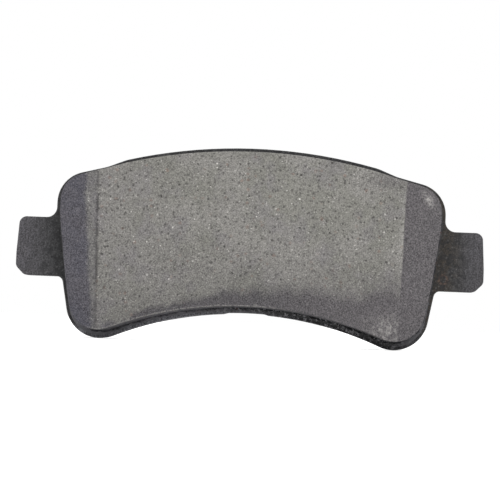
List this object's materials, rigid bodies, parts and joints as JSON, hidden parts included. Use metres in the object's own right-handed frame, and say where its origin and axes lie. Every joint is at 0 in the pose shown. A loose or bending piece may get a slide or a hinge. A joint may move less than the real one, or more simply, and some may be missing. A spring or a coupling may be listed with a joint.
{
  "type": "brake pad",
  "caption": "Disc brake pad with a curved steel backing plate, guide ears at both ends, chamfered friction lining and a laminated shim.",
  "frame": {"origin": "centre of piston contact on the pressure face (outside of the shim), 125 mm from the disc's axis", "axes": "+Z radially outward from the disc, +X along the disc's rim, +Y along the disc's axis away from the disc, so the friction face looks along -Y"},
  "size_m": [0.137, 0.0177, 0.0573],
  "materials": {
    "plate_coating": "satin",
    "bond_lacquer": "matte",
    "underlayer_compound": "matte",
    "friction_compound": "matte",
    "shim_adhesive": "matte",
    "shim_rubber": "matte",
    "shim_steel": "satin"
  },
  "bodies": {
    "root": {"backing_plate": "plate_coating", "bond_coat": "bond_lacquer", "underlayer": "underlayer_compound", "friction_lining": "friction_compound", "shim_adhesive": "shim_adhesive", "shim_inner_rubber": "shim_rubber", "shim_steel": "shim_steel", "shim_outer_rubber": "shim_rubber"}
  },
  "joints": []
}
